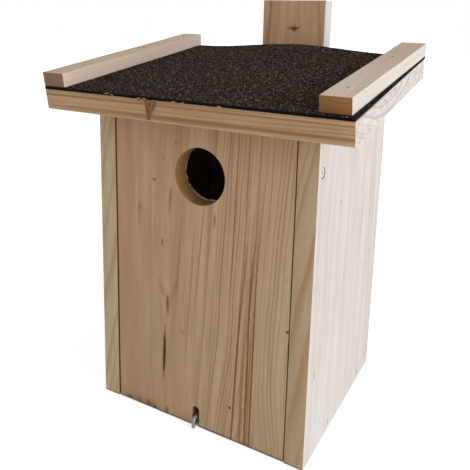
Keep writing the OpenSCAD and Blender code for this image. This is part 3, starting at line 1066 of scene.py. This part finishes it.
def hook_path():
    """From the end of the shank in the floor, out through the slot and down the leg."""
    leg_y = FRONT_Y - HOOK_OUT
    start = Vector((hook_axis.x, floor_low.y + SHANK_IN, hook_axis.z))
    end = Vector((hook_axis.x, leg_y + BEND_R, hook_axis.z))
    points = [start.lerp(end, step / BEND_STEPS) for step in range(BEND_STEPS + 1)]
    centre = end - Vector((0, 0, BEND_R))
    for step in range(1, BEND_STEPS + 1):
        angle = math.radians(90 * step / BEND_STEPS)
        points.append(centre + Vector((0, -math.sin(angle), math.cos(angle))) * BEND_R)
    points.append(Vector((hook_axis.x, leg_y, hook_axis.z - HOOK_REACH + WIRE / 2)))
    return points


place_piece(tube(hook_path(), WIRE / 2), "hook_wire", zinc_plate, "hook", ["turn_hook"])

HEAD_RIM = 1.0 * MM
HEAD_ARRIS = 0.15 * MM
HEAD_SIDES = 48
SHANK_SIDES = 32
CROSS_ARM = 1.8 * MM
CROSS_HALF = 0.4 * MM
POINT_LENGTH = 3 * MM
POINT_R = 0.2 * MM


def cross_hole(arm, half):
    """A cross-shaped hole, run clockwise: one corner and its three quarter turns."""
    corner = [(arm, -half), (half, -half), (half, -arm)]
    points = []
    for _ in range(4):
        points += [Vector(point) for point in corner]
        corner = [(y, -x) for x, y in corner]
    return points


def screw(side, end_x):
    """A countersunk wood screw with a cross recess, whose head faces outwards on that side."""
    outer = wall_high.x * side - side * SCREW_SINK
    facing = Matrix.Translation((outer, pivot.y, pivot.z)) @ Matrix.Rotation(side * math.radians(-90), 4, "Y")
    loops = [circle(0, 0, SCREW_HEAD_R, HEAD_SIDES)[::-1], cross_hole(CROSS_ARM, CROSS_HALF)]
    mesh = slab(loops, HEAD_RIM, facing, HEAD_ARRIS, 2)
    shank = abs(outer - end_x)
    profile = [(SCREW_HEAD_R * 0.97, HEAD_RIM), (SCREW_R, HEAD_RIM + SCREW_HEAD_R - SCREW_R),
               (SCREW_R, shank - POINT_LENGTH), (POINT_R, shank)]
    turned(mesh, profile, facing, SHANK_SIDES)
    return faced_out(mesh)


left_screw = screw(-1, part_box("left_pivot_screw")[1].x)
place_piece(left_screw, "left_screw", bright_zinc, "front", ["left_pivot_screw"])
right_screw = screw(1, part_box("right_pivot_screw")[0].x)
place_piece(right_screw, "right_screw", bright_zinc, "front", ["right_pivot_screw"])

# Nails
NAIL_R = 1.1 * MM
NAIL_SIDES = 16
NAIL_PROFILE = (
    (NAIL_R, -0.3 * MM),
    (NAIL_R, 0.05 * MM),
    (NAIL_R * 0.8, 0.16 * MM),
    (NAIL_R * 0.3, 0.2 * MM),
)
BATTEN_NAILS = ((122.2, 2.0), (123.9, 113.4), (125.9, 162.2), (-126, 9), (-127, 96), (-126.5, 168))
WALL_NAILS = ((-32.2, 7.2), (52.1, 7.4))


def nail_heads(spots, facing):
    """Small round nail heads at spots, each a slightly domed disc that faces along facing."""
    mesh = bmesh.new()
    turn = Vector((0, 0, 1)).rotation_difference(facing).to_matrix().to_4x4()
    for spot in spots:
        turned(mesh, NAIL_PROFILE, Matrix.Translation(spot) @ turn, NAIL_SIDES)
    return faced_out(mesh)


batten_top = BOARD + FELT + BATTEN_H
nail_mesh = nail_heads([Vector((x * MM, v * MM, batten_top)) for x, v in BATTEN_NAILS], Vector((0, 0, 1)))
place_piece(nail_mesh, "batten_nails", nail_steel, "box", (), ON_ROOF)
for side, name in ((-1, "left_wall_nails"), (1, "right_wall_nails")):
    nail_spots = [Vector((wall_high.x * side, y * MM, z * MM)) for y, z in WALL_NAILS]
    place_piece(nail_heads(nail_spots, Vector((side, 0, 0))), name, zinc_plate, "box")

# Camera, at the photograph's viewpoint
CAMERA_AT = Vector((241.54, -459.95, 350.74)) * MM
TURN_LEFT = math.radians(27.636)
LOOK_UP = math.radians(-11.269)
ROLL = math.radians(1.766)
camera = add_object("camera", bpy.data.cameras.new("camera"))
camera.matrix_world = (Matrix.Translation(CAMERA_AT) @ Matrix.Rotation(TURN_LEFT, 4, "Z")
                       @ Matrix.Rotation(math.radians(90) + LOOK_UP, 4, "X") @ Matrix.Rotation(ROLL, 4, "Z"))
camera.data.lens = 42.898
camera.data.sensor_width = 36
camera.data.shift_x = -0.0334
camera.data.shift_y = -0.2035
camera.data.clip_start = 0.01
scene.camera = camera

# Floor, lamp and background
WHITE_LIGHT = (1, 1, 1, 1)
FLOOR_GREY = (0.86, 0.86, 0.86, 1)
FLOOR_HALF = 12.0
FLOOR_FADE = (0.5, 3.0, 0.6, 1.0)
SKY_LEVEL = 0.54


def seen_directly(g):
    """1 for rays from the camera, also mirrored or through glass, and 0 for others."""
    rays = g.add("LightPath")
    seen = g.math("MAXIMUM", rays.outputs["Is Camera Ray"], rays.outputs["Is Glossy Ray"])
    return g.math("MAXIMUM", seen, rays.outputs["Is Transmission Ray"])


def pale_floor():
    """A pale floor that the camera sees as white but for the object's shadow."""
    g = material_graph("pale_floor")
    matt = g.add("BsdfDiffuse", Color=FLOOR_GREY)
    place = g.add("TexCoord").outputs["Object"]
    x, y, _ = g.split(place)
    level = g.step(g.math("SQRT", g.squares(x, y)), *FLOOR_FADE)
    beside = g.math("DIVIDE", g.math("ABSOLUTE", x), wall_high.x)
    before = g.math("DIVIDE", g.math("ABSOLUTE", y), BACK_Y)
    open_ground = g.step(g.math("MAXIMUM", beside, before), 0.97, 1.0)
    strength = g.times(seen_directly(g), level, open_ground)
    glow = g.add("Emission", Color=WHITE_LIGHT, Strength=strength)
    both = g.add("AddShader")
    g.fill(both, (matt.outputs[0], glow.outputs[0]))
    return g.close("OutputMaterial", both)


floor_data = bpy.data.meshes.new("studio_floor")
floor_corners = [(x, y, 0) for x, y in rectangle(-FLOOR_HALF, -FLOOR_HALF, FLOOR_HALF, FLOOR_HALF)]
floor_data.from_pydata(floor_corners, [], [(0, 1, 2, 3)])
floor_data.materials.append(pale_floor())
floor = add_object("studio_floor", floor_data)

KEY_AT = Vector((1.95, -0.36, 0.55))
KEY_AIM = Vector((0, 0, 0.19))
key = add_object("key", bpy.data.lights.new("key", "AREA"))
key.data.shape = "SQUARE"
key.data.size = 1.1
key.data.energy = 31
key.data.color = (0.93, 1.0, 1.1)
key.location = KEY_AT
key.rotation_mode = "QUATERNION"
key.rotation_quaternion = (KEY_AIM - KEY_AT).to_track_quat("-Z", "Y")

sky = Graph(bpy.data.worlds.new("studio"))
sky_level = sky.step(seen_directly(sky), 0.0, 1.0, SKY_LEVEL, 1.0)
backdrop = sky.add("Background", Color=WHITE_LIGHT, Strength=sky_level)
scene.world = sky.close("OutputWorld", backdrop)
scene.view_settings.view_transform = "Standard"
